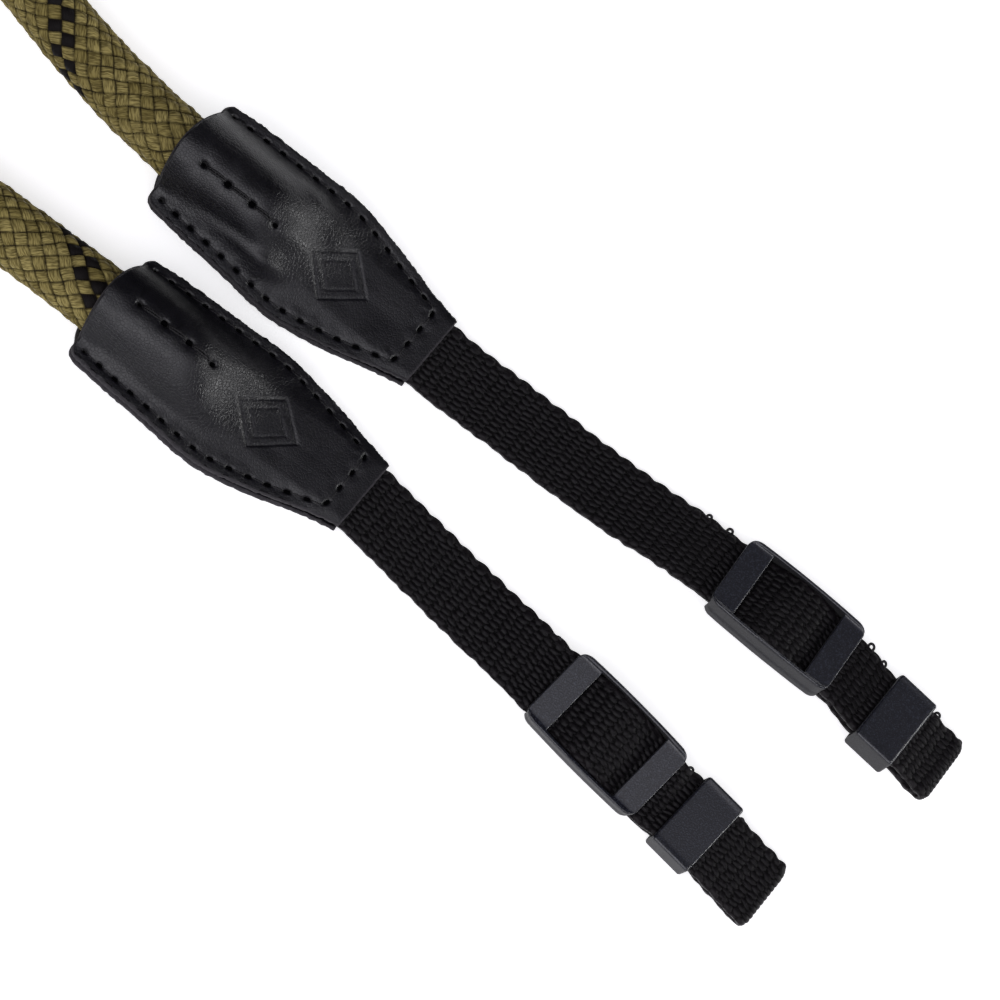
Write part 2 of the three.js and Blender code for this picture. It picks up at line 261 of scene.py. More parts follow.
def block_lattice(us, vs, ws):
    """The surface of a block: its vertices as rows of (u, v, w), and its quads facing out."""
    on = np.ones((len(us), len(vs), len(ws)), bool)
    on[1:-1, 1:-1, 1:-1] = False
    index = np.full(on.shape, -1)
    index[on] = np.arange(on.sum())
    places = np.stack(np.meshgrid(us, vs, ws, indexing="ij"), axis=-1)[on]
    faces = []
    for sheet, turn in (
        (index[:, :, -1], 1), (index[:, :, 0], -1),
        (index[:, 0], 1), (index[:, -1], -1),
        (index[-1], 1), (index[0], -1),
    ):
        quads = np.stack([sheet[:-1, :-1], sheet[1:, :-1], sheet[1:, 1:], sheet[:-1, 1:]], axis=-1)
        faces.append(quads.reshape(-1, 4)[:, ::turn])
    return places, np.concatenate(faces)


# --- rope ---

BRAID_STRANDS = 12          # in each hand
BRAID_LEAD = 34.5           # one turn of a strand, along the rope
BRAID_RELIEF = 0.44
BRAID_UNEVEN = 0.22         # how much the strands' heights differ
BRAID_SWAY = 0.16           # of one crossing
BRAID_CELL_STEPS = np.array([0.0, 0.1, 0.5, 0.9])  # places across one strand
BRAID_ROUND = BRAID_STRANDS * len(BRAID_CELL_STEPS)
STRAND_PITCH = BRAID_LEAD / (2 * BRAID_STRANDS)
ROPE_OVAL = 0.06            # how much the tabs' mouths flatten it


def braid_place(index):
    """From the number of a grid line to its place, counted in strands."""
    steps = len(BRAID_CELL_STEPS)
    return index // steps + BRAID_CELL_STEPS[index % steps]


def braid_height(a, b):
    """The relief where places a and b of the two hands' strands cross: pillows and grooves."""
    in_a, in_b = a % 1, b % 1
    first_on_top = (np.floor(a) + np.floor(b)) % 2 == 0
    width = np.where(first_on_top, in_a, in_b)
    length = np.where(first_on_top, in_b, in_a)
    pillow = (1 - 0.25 * np.abs(2 * width - 1) ** 2) * (1 - 0.75 * np.abs(2 * length - 1) ** 2)
    on_groove = (in_a < 0.01) | (in_b < 0.01)
    height = np.where(on_groove, 0.0, 0.2 + 0.8 * pillow)
    uneven = value_noise(np.floor(a) * 0.83 + 0.4, np.floor(b) * 0.71, 31)
    return height * (1 + BRAID_UNEVEN * uneven) * BRAID_RELIEF


def braid_points(line, rows):
    """The braid's grid wrapped round the rope's line, row by row, and a point for each end."""
    total = arc_lengths(line)[-1]
    row, index = np.meshgrid(np.arange(rows + 1), np.arange(BRAID_ROUND), indexing="ij")
    a, b = braid_place(row + index), braid_place(index)
    distance = (a - b) * STRAND_PITCH
    distance = distance * total / distance.max()

    # hand-laid strands don't cross on a perfect grid
    sway = BRAID_SWAY * value_noise(a * 0.9, b * 0.9, 32)
    lean = BRAID_SWAY * value_noise(a * 0.9 + 40, b * 0.9, 33)
    angle = (math.pi * (a + b) / BRAID_STRANDS + sway * math.pi / BRAID_STRANDS).ravel()
    inside = smooth(0, 3, np.minimum(distance, total - distance))
    distance = (distance + lean * inside * STRAND_PITCH).ravel()

    tangent = directions(line, distance, 0.5)
    side = unit(np.cross([0, 0, 1.0], tangent))
    up = np.cross(tangent, side)
    oval = ROPE_OVAL * (1 - smooth(14, 40, np.minimum(distance, total - distance)))
    radius = ROPE_DIAMETER / 2 - BRAID_RELIEF + braid_height(a, b).ravel()
    across, above = radius * np.cos(angle) * (1 + oval), radius * np.sin(angle) * (1 - oval)
    grid = along_line(line, distance) + side * across[:, None] + up * above[:, None]
    ends = [grid[:BRAID_ROUND].mean(axis=0), grid[-BRAID_ROUND:].mean(axis=0)]
    return np.vstack([grid, ends])


def braid_faces(rows):
    """The diamonds of the braid's grid and its two ends, with the weave's place at each corner."""
    def vertex(row, index):
        return row * BRAID_ROUND + index % BRAID_ROUND

    faces, uv = [], []
    for row in range(rows + 1):
        for i in range(BRAID_ROUND):
            # the diamond whose lowest place round the rope is (row, i)
            corners = [(row, i), (row + 1, i), (row, i + 1), (row - 1, i + 1)]
            shown = [(r, c) for r, c in corners if 0 <= r <= rows]
            if len(shown) > 2:
                faces.append([vertex(r, c) for r, c in shown])
                uv.extend((braid_place(r + c), braid_place(c)) for r, c in shown)
    for number, (row, turn) in enumerate(((0, -1), (rows, 1))):
        middle = (rows + 1) * BRAID_ROUND + number
        for i in range(BRAID_ROUND):
            pair = (vertex(row, i), vertex(row, i + 1))
            faces.append([middle, *pair[::turn]])
            uv.extend([(0.5, 0.5)] * 3)
    return faces, uv


def make_rope(material):
    """The braid as one mesh, the rope's path in metres, and its length."""
    line = catmull_rom(ROPE_ROUTE, 40)
    total = arc_lengths(line)[-1]
    rows = int(total / BRAID_LEAD * 2 * BRAID_ROUND)
    rows -= rows % 2
    faces, uv = braid_faces(rows)
    rope = mesh_object("rope_braid", braid_points(line, rows), faces, material, uv)
    return rope, along_line(line, np.linspace(0, total, 160)) * MM, total


# --- the strap's route ---


def hermite(t, span, start, stop, slope_start, slope_stop):
    t2, t3 = t * t, t * t * t
    return (
        (2 * t3 - 3 * t2 + 1) * start + (t3 - 2 * t2 + t) * span * slope_start
        + (3 * t2 - 2 * t3) * stop + (t3 - t2) * span * slope_stop
    )


def route_at(route, x):
    """Where the strap is at x: its middle across, its underside's height and its roll."""
    keys = np.array(route, float)
    i = np.clip(np.searchsorted(keys[:, 0], x, side="right") - 1, 0, len(keys) - 2)
    x0, y0, heading0, lift0, roll0 = keys[i].T
    x1, y1, heading1, lift1, roll1 = keys[i + 1].T
    t = np.clip((x - x0) / (x1 - x0), 0, 1)
    slope0, slope1 = np.tan(np.radians(heading0)), np.tan(np.radians(heading1))
    middle = hermite(t, x1 - x0, y0, y1, slope0, slope1)
    lift = hermite(t, x1 - x0, lift0, lift1, 0, 0)
    return middle, lift, np.radians(roll0 + (roll1 - roll0) * smooth(0, 1, t))


def bend(route, x, y, z):
    """Bends points of the straight strap (x along, y across, z up) onto the route."""
    middle, lift, roll = route_at(route, x)
    across = np.cos(roll) * y - np.sin(roll) * z
    up = np.sin(roll) * y + np.cos(roll) * z
    return np.stack([x, middle + across, lift + up], axis=1)


def set_on_route(points, route, x, shift):
    """Places a hard piece, made round its own origin, at x on the route, turned and rolled."""
    step = 0.5
    middle, lift, roll = (float(v) for v in route_at(route, x))
    before, after = (float(route_at(route, x + side)[0]) for side in (-step, step))
    heading = math.atan2(after - before, 2 * step)
    turn = np.array(Matrix.Rotation(heading, 3, "Z") @ Matrix.Rotation(roll, 3, "X"))
    return (points + [0, shift, 0]) @ turn.T + [x, middle, lift]


# --- leather tabs ---

# the two layers part more softly here than in the part's source
DOME_FULL_UNTIL, DOME_GONE_AT = 12.5, 30
DOME_WIDER, DOME_NARROWER, DOME_POWER = 0.9, 0.2, 2.2
WEB_ROOM_FROM, WEB_ROOM_UNTIL = 17, 27
WEB_ROOM_INNER, WEB_ROOM_OUTER = 4.6, 8.0
VALLEY_SOFTNESS = 1.1

STITCH_INSET, STITCH_END_INSET, STITCH_CORNER = 1.5, 3.4, 1.3
STITCH_PITCH, STITCH_FIRST = 2.9, 1.8
CENTRE_PITCH, CENTRE_STITCHES = 4.35, 3
EDGE_ROUNDING = 0.3
TOP_GRID, BOTTOM_GRID, WALL_ROWS = (231, 113), (95, 49), 6
MOTIF_ALONG, MOTIF_HALF, MOTIF_LINE = 27.6, 5.2, 0.26
MOTIF_FRAME, MOTIF_INNER_FRAME, MOTIF_FIELD = 0.17, 0.12, 0.06  # how deep each is pressed

PUCKER_OFF, PUCKER_WIDTH = 0.9, 0.5
DIMPLE_WIDTH, DIMPLE_LENGTH = 1.6, 1.2

# groove: depth, half width; hole: depth, half width, half length; pucker and dimple: depth
EDGE_STITCH = {"groove": (0.08, 0.6), "hole": (0.62, 0.3, 0.62), "pucker": 0.035, "dimple": 0}
CENTRE_STITCH = {"groove": (0.1, 0.8), "hole": (0.85, 0.45, 0.6), "pucker": 0, "dimple": 0.16}

TAB_EDGE = catmull_rom(TAB_OUTLINE, 12, power=0, beyond=(TAB_OUTLINE[0], TAB_OUTLINE[-1]))


def tab_half_width(along):
    """The tab's half width, on a curve through the outline's points."""
    return np.interp(along, *TAB_EDGE.T)


def mouth_edge(v):
    half = float(tab_half_width(0))
    across = np.abs(v) * half
    into_corner = np.maximum(0, across - (half - CORNER_RADIUS))
    rounding = CORNER_RADIUS - np.sqrt(np.maximum(0, CORNER_RADIUS**2 - into_corner**2))
    return rounding - MOUTH_BULGE * np.maximum(0, 1 - (across / DOME_HALF) ** 2)


def parting(along, across, amplitude):
    """How far the two layers part, round the rope's end and round the webbing."""
    dome = amplitude * (1 - smooth(DOME_FULL_UNTIL, DOME_GONE_AT, along))
    half = np.where(across > 0, DOME_HALF + DOME_WIDER, DOME_HALF - DOME_NARROWER)
    arch = dome * (1 - (np.abs(across) / half) ** DOME_POWER)
    rounded = 0.5 * (arch + np.sqrt(arch**2 + VALLEY_SOFTNESS**2))
    inside = 1 - smooth(WEB_ROOM_INNER, WEB_ROOM_OUTER, np.abs(across))
    web = (WEB_THICKNESS / 2 + GAP) * smooth(WEB_ROOM_FROM, WEB_ROOM_UNTIL, along) * inside
    return GAP / 2 + np.sqrt(rounded**2 + web**2)


def flange_height(along):
    return FLANGE_MOUTH + (FLANGE_END - FLANGE_MOUTH) * smooth(SETTLE_FROM, SETTLE_UNTIL, along)


def edge_stitch_line():
    """The edge stitching's path (along, across): down one side, across the end, and back."""
    last = TAB_LENGTH - STITCH_END_INSET
    along = np.linspace(STITCH_FIRST, last - STITCH_CORNER, 60)
    slope = np.gradient(tab_half_width(along), along)
    side = np.stack([along, tab_half_width(along) - STITCH_INSET * np.sqrt(1 + slope**2)], axis=1)
    turn = np.linspace(0, math.pi / 2, 8)[1:]
    centre = side[-1] - [0, STITCH_CORNER]
    corner = centre + STITCH_CORNER * np.stack([np.sin(turn), np.cos(turn)], axis=1)
    half_way = np.vstack([side, corner])
    return np.vstack([half_way, (half_way * [1, -1])[::-1]])


def centre_stitch_line(end):
    first, across = end["centre_stitches"]
    return np.array([[first + CENTRE_PITCH * i, across] for i in range(CENTRE_STITCHES + 1)])


def nearest_on_line(along, across, line):
    """The distance to a path, and how far along the path its nearest place is."""
    best, where = np.full(along.shape, np.inf), np.zeros(along.shape)
    for start, span, so_far in zip(line, np.diff(line, axis=0), arc_lengths(line)):
        size = np.hypot(*span)
        x, y = along - start[0], across - start[1]
        t = np.clip((x * span[0] + y * span[1]) / size**2, 0, 1)
        gap = np.hypot(x - t * span[0], y - t * span[1])
        where = np.where(gap < best, so_far + t * size, where)
        best = np.minimum(gap, best)
    return best, where


def hole_places(line, pitch):
    total = arc_lengths(line)[-1]
    return np.linspace(0, total, int(round(total / pitch)) + 1)


def stitch_relief(along, across, end):
    """The stitching's grooves, holes and puckers in the upper layer; and how much shade is painted
    into each hole.
    """
    height, dark = np.zeros((2, *along.shape))
    edge = edge_stitch_line()
    for line, pitch, stitch in (
        (edge, hole_places(edge, STITCH_PITCH)[1], EDGE_STITCH),
        (centre_stitch_line(end), CENTRE_PITCH, CENTRE_STITCH),
    ):
        gap, where = nearest_on_line(along, across, line)
        from_hole = (where + pitch / 2) % pitch - pitch / 2
        groove, groove_width = stitch["groove"]
        depth, half_width, half_length = stitch["hole"]
        hole = (gap / half_width) ** 2 + (from_hole / half_length) ** 2
        height -= groove * bell(gap / groove_width) + depth * np.exp(-1.5 * hole)
        wave = np.cos(2 * math.pi * from_hole / pitch)
        height -= stitch["pucker"] * bell((gap - PUCKER_OFF) / PUCKER_WIDTH) * wave
        height -= stitch["dimple"] * bell(gap / DIMPLE_WIDTH) * bell(from_hole / DIMPLE_LENGTH)
        # painted shade, strongest in the middle of each hole
        dark = np.maximum(dark, bell(hole))
    return height, dark


def motif_relief(along, across):
    """A plain pressed lozenge frame, with a finer one inside it."""
    reach = np.abs(along - MOTIF_ALONG) + np.abs(across) * 1.15
    outer = bell((reach - MOTIF_HALF) / MOTIF_LINE)
    inner = bell((reach - MOTIF_HALF * 0.62) / (MOTIF_LINE * 0.8))
    field = 1 - smooth(MOTIF_HALF - 0.2, MOTIF_HALF + 0.2, reach)
    return -MOTIF_FRAME * outer - MOTIF_INNER_FRAME * inner - MOTIF_FIELD * field


def fold_relief(along, across, end):
    """Soft dents and swellings where the leather settles off the rope's end."""
    height = np.zeros(along.shape)
    for at, side, length, width, size, bearing in end["folds"]:
        c, s = math.cos(math.radians(bearing)), math.sin(math.radians(bearing))
        x, y = along - at, across - side
        height += size * bell((x * c + y * s) / length) * bell((y * c - x * s) / width)
    wrinkle = value_noise(along * 0.3 + 7, across * 0.7, 11) * 0.05
    wrinkle += value_noise(along * 0.9, across * 1.6, 12) * 0.012
    return height + wrinkle * (1 - 0.5 * smooth(20, 40, along))


def edge_fade(along, across):
    """0 at the tab's cut edge, 1 from 3 mm inside it."""
    inside = np.minimum(tab_half_width(along) - np.abs(across), TAB_LENGTH - along)
    return smooth(0, 3, inside)


def on_tab(end, along, across, z):
    return bend(end["route"], end["mouth"] + along, across, z)


def round_edge(w, inside, radius=EDGE_ROUNDING):
    """Draws the wall's rows in near the two faces, so that a cut edge is slightly rounded."""
    from_face = np.minimum(w, 1 - w) * LEATHER
    into = np.maximum(0, radius - from_face)
    pull = radius - np.sqrt(np.maximum(0, radius**2 - into**2))
    return pull * (inside < 1e-6)


def rough_edge(at, through, side, v):
    """Fibres that stand out of the long cut edges."""
    coarse = value_noise(at * 1.7, through * 2.5 + 9 * side, 3) * 0.1
    fine = value_noise(at * 5.1, through * 5 + 3 * side, 4) * 0.07
    return (coarse + fine) * smooth(0.96, 1, np.abs(v))


def tab_layer_points(end, side, places):
    """A leather layer's points and their marks: dark, the shade painted into the stitch holes, and
    cut; side is 1 on top, -1 below.
    """
    u, v, w = places.T
    start = mouth_edge(v)
    along = start + (TAB_LENGTH - start) * u
    across = v * tab_half_width(along)
    inner = parting(along, across, DOME_TOP if side > 0 else DOME_BOTTOM)
    through = w if side > 0 else 1 - w
    away = inner + LEATHER * through
    dark = np.zeros(len(u))
    if side > 0:
        height, dark = stitch_relief(along, across, end)
        folds = fold_relief(along, across, end) * edge_fade(along, across)
        height += folds + motif_relief(along, across)
        away = away + height * np.where(through > 0.5, 1, 0.35)
        away = np.maximum(away, inner + 0.05 * through)

    pull = round_edge(w, 1 - np.abs(v)) + rough_edge(along, through, side, v)
    across = across - np.sign(v) * pull
    end_rough = value_noise(across * 1.9, through * 2 + 5 * side, 5) * 0.06 * smooth(0.985, 1, u)
    along = along - round_edge(w, 1 - u, EDGE_ROUNDING * 0.6) + end_rough + round_edge(w, u)

    cut = np.maximum(smooth(0.985, 1, np.abs(v)), smooth(0.992, 1, np.maximum(u, 1 - u)))
    z = flange_height(along) + side * away
    return on_tab(end, along, across, z), dark, cut


def make_tab_layer(name, end, side, material):
    rows, columns = TOP_GRID if side > 0 else BOTTOM_GRID
    places, faces = block_lattice(
        np.linspace(0, 1, rows), np.linspace(-1, 1, columns), np.linspace(0, 1, WALL_ROWS),
    )
    points, dark, cut = tab_layer_points(end, side, places)
    layer = mesh_object(name, points, faces.tolist(), material)
    add_marks(layer, dark, cut)
    return layer


# --- threads ---

THREAD_RADIUS, THICK_THREAD_RADIUS, LOOP_THREAD = 0.13, 0.169, 0.21
TUBE_SIDES = 8
TUBE_TIP = 0.35             # of the tube's radius


def top_of_tab(end, along, across):
    """How high the upper layer's outside is, for the threads to lie on."""
    height, _ = stitch_relief(along, across, end)
    height = height + fold_relief(along, across, end) * edge_fade(along, across)
    return flange_height(along) + parting(along, across, DOME_TOP) + LEATHER + height


def thread_tube(path, radius):
    """A tube round a short path, tapered shut at both ends: its points and faces."""
    tangent = unit(np.gradient(path, axis=0))
    side = unit(np.cross(tangent, [0, 0, 1.0]))[:, None]
    up = np.cross(side, tangent[:, None])
    angle = np.linspace(0, 2 * math.pi, TUBE_SIDES, endpoint=False)[None, :, None]
    sizes = np.full(len(path), radius)
    sizes[[0, -1]] = radius * TUBE_TIP
    ring = side * np.cos(angle) + up * np.sin(angle)
    points = (path[:, None] + ring * sizes[:, None, None]).reshape(-1, 3)
    faces = []
    for low in range(0, len(points) - TUBE_SIDES, TUBE_SIDES):
        high = low + TUBE_SIDES
        for i in range(TUBE_SIDES):
            j = (i + 1) % TUBE_SIDES
            faces.append([low + i, low + j, high + j, high + i])
    faces.append(list(range(TUBE_SIDES))[::-1])
    faces.append(list(range(len(points) - TUBE_SIDES, len(points))))
    return points, faces


def make_threads(name, paths, material):
    """One object out of many short tubes, given as pairs of path and radius."""
    points, faces, total = [], [], 0
    for path, radius in paths:
        tube, around = thread_tube(path, radius)
        points.append(tube)
        faces.extend([i + total for i in face] for face in around)
        total += len(tube)
    return mesh_object(name, np.vstack(points), faces, material)


def stitch_paths(end):
    """Every stitch on top of a tab: a short thread from hole to hole, sunk into its groove."""
    edge, centre = edge_stitch_line(), centre_stitch_line(end)
    t = np.linspace(0, 1, 13)
    for line, pitch, radius, apart, rise in (
        (edge, STITCH_PITCH, THREAD_RADIUS, 0.0, -0.08),
        (centre, CENTRE_PITCH, THICK_THREAD_RADIUS, 0.19, 0.06),
        (centre, CENTRE_PITCH, THICK_THREAD_RADIUS, -0.19, 0.06),
    ):
        holes = hole_places(line, pitch)
        for first, second in zip(holes[:-1], holes[1:]):
            along, across = along_line(line, first + (second - first) * (0.06 + 0.88 * t)).T
            z = top_of_tab(end, along, across)
            level = np.maximum(z, z[len(z) // 2] - 0.5)
            lift = rise * np.sin(math.pi * t) ** 0.6 - 0.42 * (2 * t - 1) ** 8
            slant = 0.12 * (2 * t - 1) + apart * np.sin(math.pi * t) ** 0.5
            yield on_tab(end, along, across + slant, level + lift), radius


def hole_paths(end):
    """Painted shade in every stitch hole: a small dark closed plug, sunk just below the rim."""
    t = np.linspace(-1, 1, 9)[:, None]
    for line, pitch, length, radius in (
        (edge_stitch_line(), STITCH_PITCH, 0.46, 0.23),
        (centre_stitch_line(end), CENTRE_PITCH, 0.42, 0.33),
    ):
        for at in hole_places(line, pitch):
            rim = along_line(line, np.clip([at - 1, at + 1], 0, arc_lengths(line)[-1]))
            heading = unit(rim[1:] - rim[:1])
            along, across = (along_line(line, np.array([at])) + heading * length * t).T
            z = np.full(len(t), top_of_tab(end, *rim.T).mean() - radius - 0.04)
            yield on_tab(end, along, across, z), radius


# --- webbing ---

WARPS = 24
PICK = 1.53
PICK_STEPS = 6
WEAVE_HEIGHT = 0.24
FLOAT_LENGTH, FLOAT_WIDTH, FLOAT_SLANT, FLOAT_LEAN = 0.56, 0.95, 0.6, 0.08
LINE_STEPS = 24
PICOT_PITCH, PICOT_REACH = 2 * PICK, 0.36
BAR_INNER = SLIDER_LENGTH / 2 - BAR_LENGTH


def webbing_side_line(end):
    """The webbing's middle line from the side (x, z), as the part's source has it."""
    half, half_keeper = SLIDER_LENGTH / 2, KEEPER_LENGTH / 2
    low = WEB_THICKNESS / 2 + GAP
    high = low + WEB_THICKNESS + GAP
    low_in_keeper = (KEEPER_HEIGHT - SLOT_HEIGHT) / 2 + GAP + WEB_THICKNESS / 2
    hump_low = CENTRE_BAR_BOTTOM + CENTRE_BAR_THICKNESS + GAP + WEB_THICKNESS / 2
    fold = (high - low) / 2
    mouth, slider, keeper, tip = (end[k] for k in ("mouth", "slider", "keeper", "tip"))
    tab_end = mouth + TAB_LENGTH

    def layer(level, hump, in_keeper):
        """One layer from over the slider's first bar to the tip."""
        return [
            (slider - BAR_INNER - 0.4, level),
            (slider - 1.8, hump),
            (slider + 1.8, hump),
            (slider + BAR_INNER + 0.4, level),
            (slider + half, level),
            (keeper - half_keeper, in_keeper),
            (keeper + half_keeper, in_keeper),
            (tip - fold - 2, level),
            (tip - fold, level),
        ]

    in_tab = TAB_LENGTH - WEB_IN_TAB * (1 - np.arange(5) / 4)
    turn = np.radians((-60, -30, 0, 30, 60))
    points = [
        *zip(mouth + in_tab, flange_height(in_tab)),
        (tab_end + 9, 1.7),
        ((tab_end + slider) / 2, 1.3),
        (slider - half - 5, high - 0.2),
        (slider - half, high),
        *layer(high, hump_low + 1.25, low_in_keeper + WEB_THICKNESS + GAP),
        *zip(tip - fold + fold * np.cos(turn), (low + high) / 2 - fold * np.sin(turn)),
        *layer(low, hump_low, low_in_keeper)[::-1],
        (slider - half + 1, low),
    ]
    return [(x, 0.0, z) for x, z in points]


def fold_place(line):
    """How far along the webbing its tip is."""
    return arc_lengths(line)[np.argmax(line[:, 0])]


def weave_height(pick, warp, floor=np.floor, most=np.maximum, root=np.sqrt):
    """0 in the gaps to 1 on the floats: each warp yarn bulges over every second pick.

    It takes arrays, or a shader's values with the shader's own floor, most and root.
    """
    heights = []
    for step in (0, 1):
        column = floor(pick) + step
        along = pick - column
        slant = column % 2 * FLOAT_SLANT - FLOAT_LEAN
        across = (warp - column + along * slant + 0.5) % 2 - 1
        rest = 1 - (abs(along) / FLOAT_LENGTH) ** 2.4 - (abs(across) / FLOAT_WIDTH) ** 2.2
        heights.append(root(most(rest, 0)))
    return most(*heights)


def selvedge_shift(along, v):
    """Loops of weft stand out of the far edge, the near edge waves, and both sway together."""
    loops = np.sqrt(np.cos(math.pi * along / PICOT_PITCH) ** 2 + 0.05)
    uneven = 1 + 0.4 * value_noise(along / PICOT_PITCH + 0.5, 3.0, 21)
    far = (0.2 + PICOT_REACH * loops * uneven) * smooth(0.86, 1, v)
    waves = np.sqrt(np.cos(math.pi * along / (1.7 * PICK) + 1.3) ** 2 + 0.08)
    near = (0.16 + 0.16 * waves) * smooth(0.86, 1, -v)
    near = near + 0.1 * value_noise(along / 1.1, 5.0, 23) * smooth(0.9, 1, -v)
    return far - near + 0.12 * value_noise(along / 11, 8.0, 22)


def make_webbing(name, end, material):
    """Plain-woven band: each warp yarn goes over and under the picks, with looped selvedges."""
    line = catmull_rom(webbing_side_line(end), LINE_STEPS)
    total = arc_lengths(line)[-1]
    brink = 1 + 0.3 / WARPS
    places, faces = block_lattice(
        np.linspace(0, 1, int(total / PICK * PICK_STEPS) + 1),
        np.array([-brink, *np.linspace(-1, 1, 2 * WARPS + 1), brink]),
        np.array([0, 0.5, 1.0]),
    )
    u, v, w = places.T
    along = u * total
    warp, pick = (v + 1) / 2 * WARPS, along / PICK

    # the two faces show opposite yarns, which neither slip nor drift evenly
    woven_pick = pick + 0.2 * value_noise(warp * 0.9, pick * 0.35, 24) + np.where(w > 0.5, 0, 1)
    woven_warp = warp + 0.35 * value_noise(warp * 0.25, pick * 0.8, 26)
    uneven = 1 + 0.2 * value_noise(warp * 0.5, pick * 0.5 + 20, 25)
    from_fold = along - fold_place(line)
    relief = (weave_height(woven_pick, woven_warp) - 0.55) * WEAVE_HEIGHT * uneven
    relief = relief * (1 - 0.45 * bell(from_fold / 1.6))
    relief = np.where(np.abs(v) > 1, -0.1 * WEAVE_HEIGHT, relief)
    thickness = WEB_THICKNESS * (1 - 0.45 * smooth(0.93, 1.02, np.abs(v)))
    off = (w - 0.5) * thickness + np.sign(w - 0.5) * relief

    centre, tangent = along_line(line, along), directions(line, along, 0.2)
    in_slider = np.exp(-(((centre[:, 0] - end["slider"]) / 9) ** 4))
    across = v * WEB_WIDTH / 2 * (1 + 0.06 * in_slider) + selvedge_shift(along, v)
    across += end["slider_shift"] * in_slider
    corner = bell(from_fold / 2.4) * smooth(0.74, 1.02, np.abs(v)) ** 2
    x = centre[:, 0] - tangent[:, 2] * off - 0.45 * corner
    z = centre[:, 2] + tangent[:, 0] * off
    uv = np.stack([woven_pick, woven_warp], axis=1)[faces.ravel()]
    band = mesh_object(name, bend(end["route"], x, across, z), faces.tolist(), material, uv)
    add_marks(band, smooth(0.88, 0.96, np.abs(v)), uneven * 0.5)
    return band


def loop_paths(end):
    """Small loops of weft thread that stand out of the far selvedge beside the mouldings."""
    line = catmull_rom(webbing_side_line(end), LINE_STEPS)
    upper = line[: np.argmax(line[:, 0])]
    before, after = end["slider"] - SLIDER_LENGTH / 2, end["slider"] + SLIDER_LENGTH / 2
    beyond = end["keeper"] + KEEPER_LENGTH / 2
    places = (before - 6.8, before - 3.2, after + 1.8, after + 4.7, beyond + 1.2)
    angle = np.radians(np.linspace(-105, 255, 21))
    for index, (x, shift) in enumerate(zip(places, end["loop_shift"])):
        size = 0.36 + 0.05 * (index % 3)
        across = WEB_WIDTH / 2 + 0.42 + size * np.sin(angle) + shift
        z = np.interp(x, upper[:, 0], upper[:, 2]) + 0.1 + 0.15 * np.sin(angle)
        yield bend(end["route"], x + size * np.cos(angle), across, z), LOOP_THREAD


# --- slider and keeper ---

WINDOW_WIDTH = 11.2
SLIDER_CORNER, SLIDER_BOW, RAIL_RISE = 1.8, 0.25, 0.15
RAIL_SLOPE, FAR_RAIL_SLOPE = 0.26, 0.04
RAIL_STEP, RAIL_STEP_FROM, RAIL_STEP_UNTIL = 0.16, 1.5, 1.8
KEEPER_CORNER, KEEPER_DISH = 0.4, 0.15
FILLET = 0.3
BOX_STEP = 0.3              # how finely the boxes are divided before they are fused
VOXEL = 0.131
SOFTENING = 4


def lattice_box(low, high):
    """A finely divided box between two corners: points and quads."""
    counts = [max(2, int(abs(b - a) / BOX_STEP) + 1) for a, b in zip(low, high)]
    return block_lattice(*(np.linspace(a, b, n) for a, b, n in zip(low, high, counts)))


def inside_rounded(points, size, corner):
    """Draws points into a standing prism with rounded corners and edges."""
    length, width, height = size
    p = points.copy()
    inset = np.zeros(len(p))
    for gap in (height - p[:, 2], p[:, 2]):
        into = np.clip(FILLET - gap, 0, FILLET)
        inset += FILLET - np.sqrt(FILLET**2 - into**2)
    for axis, extent in ((0, length), (1, width)):
        half = extent / 2 - inset
        p[:, axis] = np.clip(p[:, axis], -half, half)
    round_by = np.maximum(corner - inset, 0.1)
    over = np.abs(p[:, :2]) - (np.array([length, width]) / 2 - (inset + round_by)[:, None])
    reach = np.hypot(*np.maximum(over, 1e-9).T)
    in_corner = (over > 0).all(axis=1) & (reach > round_by)
    shrink = np.where(in_corner, 1 - round_by / np.maximum(reach, 1e-9), 0)
    p[:, :2] -= np.sign(p[:, :2]) * np.maximum(over, 0) * shrink[:, None]
    return p


def slider_shapes():
    """Two side rails, two end bars that lie a little lower, and the centre bar."""
    half, side, window = SLIDER_LENGTH / 2, SLIDER_WIDTH / 2, WINDOW_WIDTH / 2
    under_bar, over_bar = SLIDER_HEIGHT - BAR_THICKNESS, SLIDER_HEIGHT - RAIL_SLOPE - 0.1
    centre, centre_top = CENTRE_BAR / 2, CENTRE_BAR_BOTTOM + CENTRE_BAR_THICKNESS
    boxes = []
    for sign in (-1, 1):
        near, far = sorted((sign * (window + 0.02), sign * side))
        boxes.append(((-half, near, 0), (half, far, SLIDER_HEIGHT)))
        start, stop = sorted((sign * BAR_INNER, sign * half))
        boxes.append(((start, -side, under_bar), (stop, side, over_bar)))
    boxes.append(((-centre, -window - 0.5, CENTRE_BAR_BOTTOM), (centre, window + 0.5, centre_top)))
    size = (SLIDER_LENGTH, SLIDER_WIDTH, SLIDER_HEIGHT)
    for low, high in boxes:
        points, faces = lattice_box(low, high)
        yield slider_waist(inside_rounded(points, size, SLIDER_CORNER)), faces


